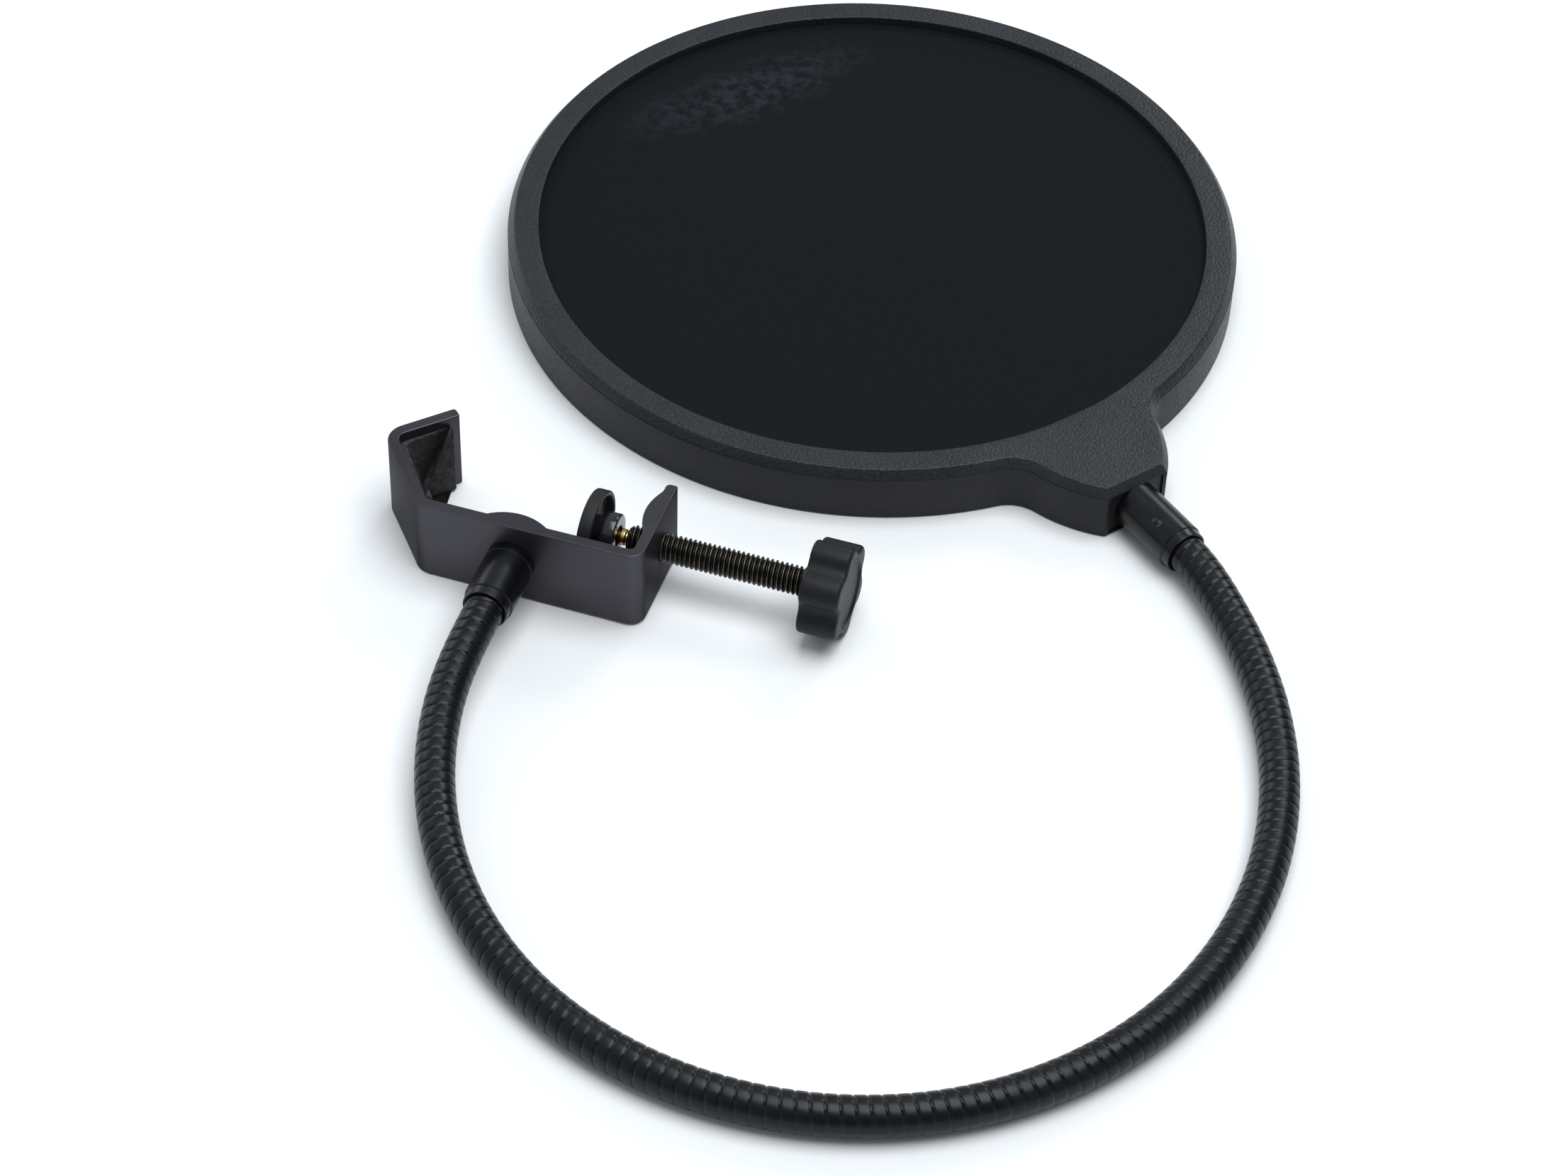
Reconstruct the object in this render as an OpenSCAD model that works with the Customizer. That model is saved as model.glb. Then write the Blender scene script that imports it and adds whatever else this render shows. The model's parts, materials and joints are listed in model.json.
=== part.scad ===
// Pop filter on a gooseneck with a screw clamp, lying on a table.
// Millimetres, +Z up, +Y away from the front. The table is z = 0.

/* [Part] */
// Node to draw, or "all"

/* [Hoop] */
// Outside diameter of the round hoop
hoop_d = 155; // [140:1:165]
// Clear diameter of the fabric window
window_d = 141.8; // [130:0.2:142]
// Whole thickness of the hoop
hoop_t = 12.2; // [11.6:0.1:13]
// Height of the bevel round the front edge
bevel_h = 2; // [1.2:0.1:2.4]
// Radial depth of that bevel
bevel_in = 1.4; // [0.6:0.1:1.8]
// Wall thickness of the rear shell
shell_wall = 1.6; // [1.2:0.1:1.8]
// Thickness of the knitted mesh
mesh_t = 0.4; // [0.2:0.1:0.6]

/* [Tab] */
// Direction of the tab seen from above, degrees
tab_angle = -54.3; // [-65:0.1:-50]
// Distance from the hoop's centre to the tab's end face
tab_end = 93.4; // [91:0.1:96]
// Half width of the tab at its end
tab_end_half = 7.4; // [6.5:0.1:8.5]
// Taper of the tab's sides where they meet its end, degrees
tab_taper = 44; // [38:1:48]
// Radius of the tab's bulging sides
tab_side_r = 32; // [28:1:38]
// Radius of the inward curves between tab and rim
tab_fillet = 8; // [5:0.5:10]
// Height of the ferrule's axis above the hoop's rear face
ferrule_h = 5.5; // [5.2:0.1:6]

/* [Gooseneck] */
// Outside diameter of the gooseneck
neck_d = 7.8; // [7:0.1:8.4]
// Diameter of the ferrules at its ends
ferrule_d = 10; // [9.2:0.1:10.2]
// Free length between the end joints
neck_len = 348.7; // [330:0.5:360]
// Heading of the gooseneck as it leaves the hoop, degrees
start_heading = -58.27; // [-62:0.01:-55]
// Whole turn of the loop, degrees
total_turn = 232.5; // [226:0.01:236]
// First correction to the turn, degrees
sway_a = -4.36; // [-6:0.01:0]
// Second correction to the turn, degrees
sway_b = -7.49; // [-9:0.01:0]

/* [Clamp] */
// Height of the clamp's band as it stands on its edge
band_w = 18.5; // [18:0.5:21]
// Thickness of the clamp's band
band_t = 2.3; // [2:0.1:2.8]
// Length of the clamp's back plate
back_len = 46.4; // [44:0.1:50]
// Length and reach of the slanted leg of the jaw
slant_run = 14.15; // [13:0.05:16]
slant_reach = 17.25; // [16:0.05:18]
// Reach of the ear from the outer face of the back plate
ear_len = 22; // [20:0.5:24]
// Length of the outer jaw leg
jaw_leg = 15.7; // [14:0.1:18]
// Direction of the clamp's back plate seen from above, degrees
clamp_turn = -16.58; // [-24:0.01:-12]
// Lean of the clamp as it lies on its jaw and its knob, degrees
clamp_lean = 0.56; // [0:0.01:1]
// Distance of the screw's axis from the outer face of the back plate
screw_v = 13.8; // [13.4:0.1:14.2]
// Distance of the gooseneck's axis from the ear's outer face
neck_u = 27; // [26:0.1:29]
// Thickness of the jaw pad
pad_t = 1.8; // [1:0.1:2]

/* [Screw] */
// Crest diameter of the clamp screw
thread_d = 5.94; // [5.9:0.01:5.98]
// Thread pitch
thread_p = 1; // [1:0.1:1.2]
// Distance from the ear's outer face to the knob
knob_gap = 30.3; // [28:0.1:32]
// Diameter over the knob's lobes
knob_d = 20.4; // [19:0.1:21]
// Thickness of the knob
knob_t = 8.2; // [6.6:0.1:9]
// Number of lobes
lobes = 6; // [5:1:7]
// Diameter of the pressure disc
foot_d = 16.6; // [16:0.1:17.4]

/* [Hidden] */
$fn = 48;
e = 0.01;
links = 16;
hoop_x = 5.863;
hoop_y = 79.491;
hoop_r = hoop_d / 2;
window_r = window_d / 2;
seam_h = hoop_t - bevel_h;
mesh_r = hoop_r - 3.3;
neck_r = neck_d / 2;
ferr_r = ferrule_d / 2;
lie_h = neck_r + 0.05;
chord = neck_len / links;
ball_r = 2.9;
socket_r = 3.2;
face_gap = 2.7;
rim_over = 0.6;
tab_joint = tab_end + 15.9;
mid_h = band_w / 2;
root_r = thread_d / 2 - 0.55 * thread_p;
ball_u = -11.9;

// ---------- the gooseneck's joint centres, from the hoop to the clamp ----------
start_pt = [hoop_x + tab_joint * cos(tab_angle), hoop_y + tab_joint * sin(tab_angle), ferrule_h];
lean_u = -back_len - 14.6;
end_u = lean_u - (lean_u + neck_u) * cos(clamp_lean) - mid_h * sin(clamp_lean);
end_h = -(lean_u + neck_u) * sin(clamp_lean) + mid_h * cos(clamp_lean);
function chord_heading(i) = let (t = (i + 0.5) / links)
    start_heading - total_turn * t - sway_a * sin(360 * t) - sway_b * sin(180 * t);
function flat_pt(i) = i == 0 ? [start_pt[0], start_pt[1]]
    : flat_pt(i - 1) + chord * [cos(chord_heading(i - 1)), sin(chord_heading(i - 1))];
function height(i) = lie_h + (start_pt[2] - lie_h) * pow(max(0, 1 - i / 3), 2)
    + (end_h - lie_h) * pow(max(0, 1 - (links - i) / 4), 1.6);
function joint_pt(i) = [flat_pt(i)[0], flat_pt(i)[1], height(i)];
last_pt = flat_pt(links);
clamp_u = [cos(clamp_turn), sin(clamp_turn)];
clamp_v = [-sin(clamp_turn), cos(clamp_turn)];
ferr_out = 16.9;
corner_pt = last_pt - end_u * clamp_u + ferr_out * clamp_v;

// ---------- frames ----------
module hoop_frame() translate([hoop_x, hoop_y, 0]) children();
module tab_frame() hoop_frame() rotate([0, 0, tab_angle]) children();
module clamp_frame() translate([corner_pt[0], corner_pt[1], 0]) rotate([0, 0, clamp_turn])
    translate([lean_u, 0, 0]) rotate([0, -clamp_lean, 0]) translate([-lean_u, 0, 0]) children();
// +Z runs along the screw, out of the ear, with zero at the ear's outer face
module screw_frame() clamp_frame() translate([0, screw_v, mid_h]) rotate([0, 90, 0]) children();
// +Z runs out of the back plate along the gooseneck, with zero at the plate's outer face
module plate_frame() clamp_frame() translate([-neck_u, 0, mid_h]) rotate([90, 0, 0]) children();

// ---------- tab outline ----------
side_c = [tab_end - tab_side_r * sin(tab_taper), tab_end_half - tab_side_r * cos(tab_taper)];
// The inward curves cross the rim and the sides by a hair instead of just touching them
cross = 0.06;
fil_ring_r = hoop_r + tab_fillet - cross;
fil_side_r = tab_side_r + tab_fillet - cross;
// Angle, seen from the hoop's centre, at which a circle of radius a round it meets one of radius b round side_c
function meet(a, b) = atan2(side_c[1], side_c[0])
    + acos((a * a + side_c * side_c - b * b) / (2 * a * norm(side_c)));
function polar(r, a) = [r * cos(a), r * sin(a)];
fil_c = polar(fil_ring_r, meet(fil_ring_r, fil_side_r));
rim_corner = polar(hoop_r, meet(hoop_r, tab_side_r));
fil_dir = (fil_c - side_c) / fil_side_r;

module tab_plan(inset = 0) {
    x0 = window_r + 1.2;
    intersection() {
        translate(side_c) circle(r = tab_side_r - inset, $fn = 180);
        translate([side_c[0], -side_c[1]]) circle(r = tab_side_r - inset, $fn = 180);
        translate([x0, -30]) square([tab_end - inset - x0, 60]);
    }
}
module fillet_plan() {
    difference() {
        polygon([rim_corner - rim_corner / hoop_r - (rim_corner - side_c) / tab_side_r,
            fil_c * (hoop_r - 1.2) / fil_ring_r, fil_c, side_c + fil_dir * (tab_side_r - 1.2)]);
        translate(fil_c) circle(r = tab_fillet);
    }
}
module tab_outline() {
    tab_plan();
    fillet_plan();
    mirror([0, 1]) fillet_plan();
}
// Removes the bevel along a straight edge that starts at p and runs at angle a
module edge_bevel(p, a, len) {
    translate([p[0], p[1], 0]) rotate([0, 0, a]) rotate([90, 0, 90]) linear_extrude(len)
        polygon([[0, seam_h], [-bevel_in * 1.5, seam_h + bevel_h * 1.5], [6, seam_h + bevel_h * 1.5], [6, seam_h]]);
}
// Removes the bevel along one of the tab's bulging sides
module side_bevel() {
    a = 80 - tab_taper;
    b = atan2(fil_dir[1], fil_dir[0]) + 1.5;
    difference() {
        translate([side_c[0], side_c[1], seam_h]) linear_extrude(bevel_h * 1.5)
            polygon([polar(26, a), polar(39, a), polar(42, (a + b) / 2), polar(39, b), polar(26, b)]);
        translate([side_c[0], side_c[1], seam_h])
            cylinder(h = bevel_h * 1.5, r1 = tab_side_r, r2 = tab_side_r - bevel_in * 1.5, $fn = 180);
    }
}
module fillet_bevel() {
    translate([fil_c[0], fil_c[1], seam_h])
        cylinder(h = bevel_h * 1.5, r1 = tab_fillet, r2 = tab_fillet + bevel_in * 1.5, $fn = 64);
}
boss_x = 81.6;
boss_y = 8;

// ---------- hoop ----------
module front_cover() color([0.16, 0.17, 0.18]) tab_frame() {
    difference() {
        union() {
            rotate_extrude($fn = 144) polygon([[window_r, 10.4], [window_r, hoop_t - 0.25],
                [window_r + 0.25, hoop_t], [hoop_r - bevel_in, hoop_t], [hoop_r, seam_h],
                [hoop_r - shell_wall - 0.1, seam_h], [hoop_r - shell_wall - 0.1, seam_h - 1.8],
                [hoop_r - shell_wall - 1.4, seam_h - 1.8], [hoop_r - shell_wall - 1.4, 10.4]]);
            difference() {
                translate([0, 0, seam_h]) linear_extrude(bevel_h) tab_outline();
                cylinder(r = hoop_r - shell_wall - 1.4, h = 10.4);
                cylinder(r = window_r + 0.3, h = 20);
            }
            for (s = [-1, 1]) translate([boss_x, s * boss_y, 5.2]) cylinder(r = 1.5, h = seam_h - 5.2 + e, $fn = 24);
        }
        fillet_bevel();
        mirror([0, 1, 0]) fillet_bevel();
        side_bevel();
        mirror([0, 1, 0]) side_bevel();
        edge_bevel([tab_end, 12], -90, 24);
        translate([tab_end - 6, 0, ferrule_h]) rotate([0, 90, 0]) cylinder(r = ferr_r + 0.05, h = 10);
        for (s = [-1, 1]) translate([boss_x, s * boss_y, 5]) cylinder(r = 1, h = 4.5, $fn = 24);
    }
}
module rear_shell() color([0.13, 0.13, 0.14]) tab_frame() {
    difference() {
        union() {
            rotate_extrude($fn = 144) polygon([[window_r, 0.3], [window_r + 0.3, 0], [hoop_r - 0.4, 0], [hoop_r, 0.4],
                [hoop_r, seam_h], [hoop_r - shell_wall, seam_h], [hoop_r - shell_wall, 1.6], [window_r, 1.6]]);
            difference() {
                linear_extrude(seam_h) tab_outline();
                translate([0, 0, -1]) cylinder(r = hoop_r - shell_wall / 2, h = 20, $fn = 96);
                translate([0, 0, 1.8]) linear_extrude(20) difference() {
                    tab_plan(1.8);
                    circle(r = hoop_r - 0.4, $fn = 96);
                }
            }
            for (s = [-1, 1]) translate([boss_x, s * boss_y, 1]) cylinder(r = 2.6, h = seam_h - 1, $fn = 32);
        }
        translate([tab_end - 0.4, -tab_end_half + 0.9, 0.6]) cube([5, 2 * tab_end_half - 1.8, 20]);
        translate([tab_end - 6, 0, ferrule_h]) rotate([0, 90, 0]) cylinder(r = ferr_r + 0.05, h = 10);
        for (s = [-1, 1]) translate([boss_x, s * boss_y, 0]) {
            translate([0, 0, -1]) cylinder(r = 2.1, h = 2.5, $fn = 32);
            cylinder(r = 1.15, h = 20, $fn = 24);
            translate([0, 0, 5]) cylinder(r = 1.6, h = 20, $fn = 24);
        }
    }
}
module front_mesh() color([0.06, 0.07, 0.09]) hoop_frame()
    translate([0, 0, 10.4 - mesh_t]) cylinder(r = mesh_r, h = mesh_t, $fn = 96);
module rear_mesh() color([0.06, 0.07, 0.09]) hoop_frame()
    translate([0, 0, 1.6]) cylinder(r = mesh_r, h = mesh_t, $fn = 96);
module ring_band(r0, r1, z0, z1) {
    translate([0, 0, z0]) linear_extrude(z1 - z0) difference() {
        circle(r = r1, $fn = 96);
        circle(r = r0, $fn = 96);
    }
}
module front_mesh_hoop() color([0.1, 0.1, 0.11]) hoop_frame()
    ring_band(window_r + 1.4, mesh_r, 8, 10.4 - mesh_t);
module rear_mesh_hoop() color([0.1, 0.1, 0.11]) hoop_frame()
    ring_band(window_r + 1.4, mesh_r, 1.6 + mesh_t, 4);
module spacer_ring() color([0.12, 0.12, 0.12]) hoop_frame()
    ring_band(window_r + 1.4, hoop_r - shell_wall - 0.2, 4, 8);
module tab_screws() color([0.35, 0.35, 0.36]) tab_frame()
    for (s = [-1, 1]) translate([boss_x, s * boss_y, 0]) {
        difference() {
            translate([0, 0, 0.3]) cylinder(r = 2, h = 1.2, $fn = 32);
            for (a = [0, 90]) rotate([0, 0, a]) translate([-1.1, -0.25, 0]) cube([2.2, 0.5, 1]);
        }
        translate([0, 0, 1.4]) cylinder(r = 1, h = 7.8, $fn = 24);
    }
module hoop_ferrule() color([0.08, 0.08, 0.09]) tab_frame() translate([tab_joint, 0, ferrule_h]) rotate([0, 90, 0]) {
    f0 = tab_end - 4.2 - tab_joint;
    difference() {
        rotate_extrude() polygon([[0, f0], [ferr_r, f0],
            [ferr_r, -1.4], [ferr_r - 0.4, -0.9], [ferr_r - 0.4, -0.1], [ferr_r - 0.7, rim_over], [0, rim_over]]);
        sphere(r = socket_r, $fn = 32);
        translate([0, 0, -8]) rotate([0, -90, -60]) translate([0, 0, ferr_r - 0.45]) cylinder(r1 = 0.3, r2 = 0.9, h = 0.6, $fn = 16);
    }
}

// ---------- gooseneck links ----------
module neck_link(i) {
    p = joint_pt(i);
    q = joint_pt(i + 1);
    v = q - p;
    l = norm(v);
    translate(p) rotate([0, 90 - asin(v[2] / l), atan2(v[1], v[0])]) {
        sphere(r = ball_r, $fn = 24);
        difference() {
            union() {
                cylinder(r = 2.1, h = 4, $fn = 24);
                translate([0, 0, face_gap]) cylinder(r = neck_r, h = l - face_gap + rim_over, $fn = 32);
            }
            translate([0, 0, l]) sphere(r = socket_r, $fn = 24);
        }
    }
}
module neck_link_01() color([0.07, 0.07, 0.08]) neck_link(0);
module neck_link_02() color([0.07, 0.07, 0.08]) neck_link(1);
module neck_link_03() color([0.07, 0.07, 0.08]) neck_link(2);
module neck_link_04() color([0.07, 0.07, 0.08]) neck_link(3);
module neck_link_05() color([0.07, 0.07, 0.08]) neck_link(4);
module neck_link_06() color([0.07, 0.07, 0.08]) neck_link(5);
module neck_link_07() color([0.07, 0.07, 0.08]) neck_link(6);
module neck_link_08() color([0.07, 0.07, 0.08]) neck_link(7);
module neck_link_09() color([0.07, 0.07, 0.08]) neck_link(8);
module neck_link_10() color([0.07, 0.07, 0.08]) neck_link(9);
module neck_link_11() color([0.07, 0.07, 0.08]) neck_link(10);
module neck_link_12() color([0.07, 0.07, 0.08]) neck_link(11);
module neck_link_13() color([0.07, 0.07, 0.08]) neck_link(12);
module neck_link_14() color([0.07, 0.07, 0.08]) neck_link(13);
module neck_link_15() color([0.07, 0.07, 0.08]) neck_link(14);
module neck_link_16() color([0.07, 0.07, 0.08]) neck_link(15);

// ---------- clamp ----------
corner = [-back_len, 0];
apex = [-back_len - slant_run, slant_reach];
slant = (apex - corner) / norm(apex - corner);
leg = [1, 1] / sqrt(2);
slant_in = [slant[1], -slant[0]];
leg_in = [leg[1], -leg[0]];
tip_out = apex + jaw_leg * leg;
// Inner corners of the band, t inside its outer face
function low_in(t) = corner + t * (slant_in + [0, 1]) / (1 + slant_in[1]);
function apex_in(t) = apex + t * (slant_in + leg_in) / (1 + slant_in * leg_in);
// Wedge between two edges that leave p along a and b, outside the arc of radius r
module corner_wedge(p, a, b, r) {
    m = (a + b) / norm(a + b);
    h = acos(a * b) / 2;
    t = r / tan(h);
    c = p + m * r / sin(h);
    k = 1 + 0.3 / r;
    difference() {
        polygon([p - 0.5 * m, c + (p + a * t - c) * k, c, c + (p + b * t - c) * k]);
        translate(c) circle(r = r, $fn = 40);
    }
}
module band_core() difference() {
    polygon([[0, 0], [0, ear_len], [-band_t + 0.3, ear_len], [-band_t, ear_len - 0.8], [-band_t, band_t],
        low_in(band_t), apex_in(band_t), tip_out + band_t * leg_in, tip_out, apex, corner]);
    corner_wedge([0, 0], [-1, 0], [0, 1], 3.2);
    corner_wedge(corner, [1, 0], slant, 4.4);
    corner_wedge(apex, -slant, leg, 4.4);
    corner_wedge(tip_out, -leg, leg_in, 0.6);
}
module band_solid() {
    linear_extrude(band_w) band_core();
    linear_extrude(band_w) corner_wedge([-band_t, band_t], [-1, 0], [0, 1], 1);
    linear_extrude(band_w) corner_wedge(low_in(band_t), [1, 0], slant, 1.5);
    linear_extrude(band_w) corner_wedge(apex_in(band_t), -slant, leg, 2);
    // boss on the back plate
    linear_extrude(band_w) intersection() {
        translate([-neck_u + 0.6, band_t + 2 - 10.6]) circle(r = 10.6, $fn = 64);
        translate([-neck_u - 9, band_t - 1]) square([18, 4]);
    }
    // boss on the ear
    linear_extrude(band_w) intersection() {
        translate([-band_t - 1.6 + 11, screw_v]) circle(r = 11, $fn = 64);
        translate([-band_t - 3, screw_v - 8]) square([4, 16]);
    }
}
module clamp_bracket() color([0.15, 0.15, 0.16]) clamp_frame() difference() {
    band_solid();
    translate([1, screw_v, mid_h]) rotate([0, -90, 0]) cylinder(r = 3.03, h = 8, $fn = 48);
    translate([-neck_u, -1, mid_h]) rotate([-90, 0, 0]) {
        cylinder(r = 2.6, h = 10, $fn = 32);
        translate([0, 0, 1 + band_t - 0.3]) cylinder(r = 4.8, h = 10, $fn = 32);
    }
}
module jaw_pad() color([0.09, 0.08, 0.08]) clamp_frame() translate([0, 0, 0.1]) {
    a = apex_in(band_t);
    b = apex_in(band_t + pad_t);
    h = band_w - 1.9;
    difference() {
        linear_extrude(h) polygon([a, a + 11.7 * leg, a + 11.7 * leg + pad_t * leg_in, b,
            a - 17.4 * slant + pad_t * slant_in, a - 17.4 * slant]);
        translate([0, 0, -1]) linear_extrude(h + 2) corner_wedge(a, -slant, leg, 2.01);
    }
    linear_extrude(h) corner_wedge(b, -slant, leg, 1);
}
module clamp_ferrule() color([0.08, 0.08, 0.09]) plate_frame() {
    end = ferr_out - face_gap;
    difference() {
        rotate_extrude() polygon([[0, 0.02], [ferr_r, 0.02], [ferr_r, 1.7], [ferr_r - 0.15, 1.85], [ferr_r, 2],
            [ferr_r, end - 0.9], [ferr_r - 0.5, end], [0, end]]);
        translate([0, 0, -1]) cylinder(r = 2.5, h = 8, $fn = 32);
    }
    translate([0, 0, end - 1]) cylinder(r = 2.1, h = face_gap + 1, $fn = 24);
    translate([0, 0, ferr_out]) sphere(r = ball_r, $fn = 24);
}
module neck_screw() color([0.3, 0.3, 0.31]) plate_frame() {
    difference() {
        translate([0, 0, -band_t - 1.6]) cylinder(r = 3.9, h = 1.5, $fn = 40);
        translate([0, 0, -band_t - 2]) cylinder(r = 1.7, h = 1.5, $fn = 6);
    }
    translate([0, 0, -band_t - 0.2]) cylinder(r = 2.5, h = band_t + 6, $fn = 32);
}
module neck_washer() color([0.4, 0.4, 0.41]) plate_frame() translate([0, 0, -band_t - 0.1]) difference() {
    cylinder(r = 4.6, h = 0.4, $fn = 40);
    translate([0, 0, -1]) cylinder(r = 2.55, h = 3, $fn = 32);
}

// ---------- clamp screw ----------
turns = floor((knob_gap + 7.2) / thread_p);
module clamp_screw() color([0.2, 0.19, 0.17]) screw_frame() difference() {
    union() {
        rotate_extrude($fn = 24) polygon(concat([[0, -7.3], [root_r - 0.2, -7.3]],
            [for (i = [0 : turns - 1]) each [[root_r, -7.1 + i * thread_p],
                [thread_d / 2, -7.1 + (i + 0.44) * thread_p], [thread_d / 2, -7.1 + (i + 0.56) * thread_p]]],
            [[root_r, -7.1 + turns * thread_p], [root_r, knob_gap + 2.2], [0, knob_gap + 2.2]]));
        translate([0, 0, knob_gap + 2]) cylinder(r = 4, h = 3, $fn = 6);
    }
    translate([0, 0, -8]) cylinder(r = 1.25, h = 6.2, $fn = 24);
}
lobe_r = 3.4;
lobe_at = knob_d / 2 - lobe_r;
vale_r = 3;
vale_at = lobe_at * cos(180 / lobes) + sqrt(pow(lobe_r + vale_r, 2) - pow(lobe_at * sin(180 / lobes), 2));
module knob_plan() {
    difference() {
        polygon([for (i = [0 : 2 * lobes - 1]) (i % 2 == 0 ? lobe_at : vale_at)
            * [cos(180 * i / lobes), sin(180 * i / lobes)]]);
        for (i = [0 : lobes - 1]) rotate(360 * (i + 0.5) / lobes) translate([vale_at, 0]) circle(r = vale_r, $fn = 32);
    }
    for (i = [0 : lobes - 1]) rotate(360 * i / lobes) translate([lobe_at, 0]) circle(r = lobe_r, $fn = 32);
}
module knob() color([0.13, 0.14, 0.14]) screw_frame() translate([0, 0, knob_gap]) difference() {
    rotate(52) linear_extrude(knob_t) knob_plan();
    translate([0, 0, knob_t - 0.4]) cylinder(r = 6.6, h = 1, $fn = 48);
    translate([0, 0, -1]) cylinder(r = thread_d / 2, h = 4, $fn = 24);
    translate([0, 0, 2]) cylinder(r = 4, h = 3, $fn = 6);
}
module swivel_pin() color([0.7, 0.55, 0.3]) screw_frame() {
    translate([0, 0, ball_u]) sphere(r = 2.3, $fn = 32);
    translate([0, 0, ball_u]) cylinder(r = 1.2, h = 4, $fn = 24);
    translate([0, 0, -9]) cylinder(r = 1.7, h = 1.6, $fn = 32);
    translate([0, 0, -8]) cylinder(r = 1.2, h = 5.8, $fn = 24);
}
module foot_collar() color([0.09, 0.09, 0.1]) screw_frame() difference() {
    rotate_extrude() polygon([[0, -14.9], [3.2, -14.9], [3.2, -12.5], [4, -12.5], [4.4, -12.1], [4.4, -9.9],
        [4, -9.5], [0, -9.5]]);
    translate([0, 0, ball_u]) sphere(r = 2.36, $fn = 32);
    translate([0, 0, ball_u]) cylinder(r = 2.1, h = 5, $fn = 32);
}
module foot_disc() color([0.12, 0.12, 0.13]) screw_frame()
    rotate_extrude($fn = 64) polygon([[0, -15.9], [foot_d / 2 - 0.5, -15.9], [foot_d / 2, -15.4], [foot_d / 2, -13.3],
        [foot_d / 2 - 0.2, -13.1], [foot_d / 2 - 0.7, -13.1], [foot_d / 2 - 0.9, -13.3],
        [foot_d / 2 - 1.1, -14.9], [0, -14.9]]);
module foot_pad() color([0.1, 0.1, 0.1]) screw_frame() translate([0, 0, -16.4]) cylinder(r = foot_d / 2 - 2.6, h = 0.5);

front_cover();
rear_shell();
front_mesh();
rear_mesh();
front_mesh_hoop();
rear_mesh_hoop();
spacer_ring();
tab_screws();
hoop_ferrule();
neck_link_01();
neck_link_02();
neck_link_03();
neck_link_04();
neck_link_05();
neck_link_06();
neck_link_07();
neck_link_08();
neck_link_09();
neck_link_10();
neck_link_11();
neck_link_12();
neck_link_13();
neck_link_14();
neck_link_15();
neck_link_16();
clamp_bracket();
jaw_pad();
clamp_ferrule();
neck_screw();
neck_washer();
clamp_screw();
knob();
swivel_pin();
foot_collar();
foot_disc();
foot_pad();
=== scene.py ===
"""Looks of a pop filter on a gooseneck with a screw clamp.

Sizes below are millimetres; the row frame is metres.
"""

import json
import math

import bpy
import numpy as np
from mathutils import Matrix, Vector


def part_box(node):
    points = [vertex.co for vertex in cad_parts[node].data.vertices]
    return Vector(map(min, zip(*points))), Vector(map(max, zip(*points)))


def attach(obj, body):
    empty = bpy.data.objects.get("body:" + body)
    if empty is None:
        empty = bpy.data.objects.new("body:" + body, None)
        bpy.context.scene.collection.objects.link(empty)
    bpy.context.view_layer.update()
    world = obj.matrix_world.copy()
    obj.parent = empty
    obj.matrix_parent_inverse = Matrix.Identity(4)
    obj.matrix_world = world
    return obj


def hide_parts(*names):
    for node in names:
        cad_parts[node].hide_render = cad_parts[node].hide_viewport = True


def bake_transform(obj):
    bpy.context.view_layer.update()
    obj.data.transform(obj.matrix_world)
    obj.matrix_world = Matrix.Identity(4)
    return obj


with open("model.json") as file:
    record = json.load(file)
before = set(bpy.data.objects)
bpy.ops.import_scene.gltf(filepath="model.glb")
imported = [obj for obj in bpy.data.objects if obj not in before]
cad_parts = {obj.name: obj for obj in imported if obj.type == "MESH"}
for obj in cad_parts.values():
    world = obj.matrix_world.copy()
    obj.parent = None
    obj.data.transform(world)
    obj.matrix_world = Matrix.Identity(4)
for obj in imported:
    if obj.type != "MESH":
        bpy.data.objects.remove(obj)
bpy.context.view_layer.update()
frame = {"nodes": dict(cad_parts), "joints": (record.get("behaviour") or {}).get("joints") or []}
JOINT = {j["name"]: j for j in frame["joints"]}
MM = 0.001

# ---------------------------------------------------------------- sizes, the CAD's own
HOOP_R, WINDOW_R, HOOP_T, BEVEL_H, BEVEL_IN = 77.5, 70.9, 12.2, 2.0, 1.4
SEAM = HOOP_T - BEVEL_H
TAB_END, TAB_HALF, TAPER, SIDE_R, FILLET = 93.4, 7.4, math.radians(44), 32.0, 8.0
FERR_R, FERR_OUT, NECK_R, PITCH = 5.0, 16.9, 3.9, 2.65
BAND_W, BAND_T, BACK, EAR, PAD_T = 18.5, 2.3, 46.4, 22.0, 1.8
SLANT_RUN, SLANT_REACH, LEG = 14.15, 17.25, 15.7
NECK_U, SCREW_V, MID = 27.0, 13.8, 9.25
KNOB_GAP, KNOB_D, KNOB_T, LOBES = 30.3, 20.4, 8.2, 6
FOOT_R, THREAD_R, THREAD_P = 8.3, 2.97, 1.0
RECESS_R, MESH_TOP, MESH_LOW = 74.0, 10.38, 1.64
SCREW_HOLE_R, FERR_HOLE_R = 3.03, 4.8
BOSS_R, BOSS_H = 10.6, 2.0
BUMP_H, BUMP_FLATNESS, BUMP_SOFT, BUMP_HALF = 1.6, 21.9, 0.12, 6.9
PAD_LONG, PAD_SHORT = 17.4, 11.7
KNIT_PITCH = 0.62


def unit(v):
    v = np.asarray(v, float)
    return v / np.linalg.norm(v)


def basis(x, y, z, origin):
    m = np.eye(4)
    m[:3, 0], m[:3, 1], m[:3, 2], m[:3, 3] = x, y, z, origin
    return m


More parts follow.
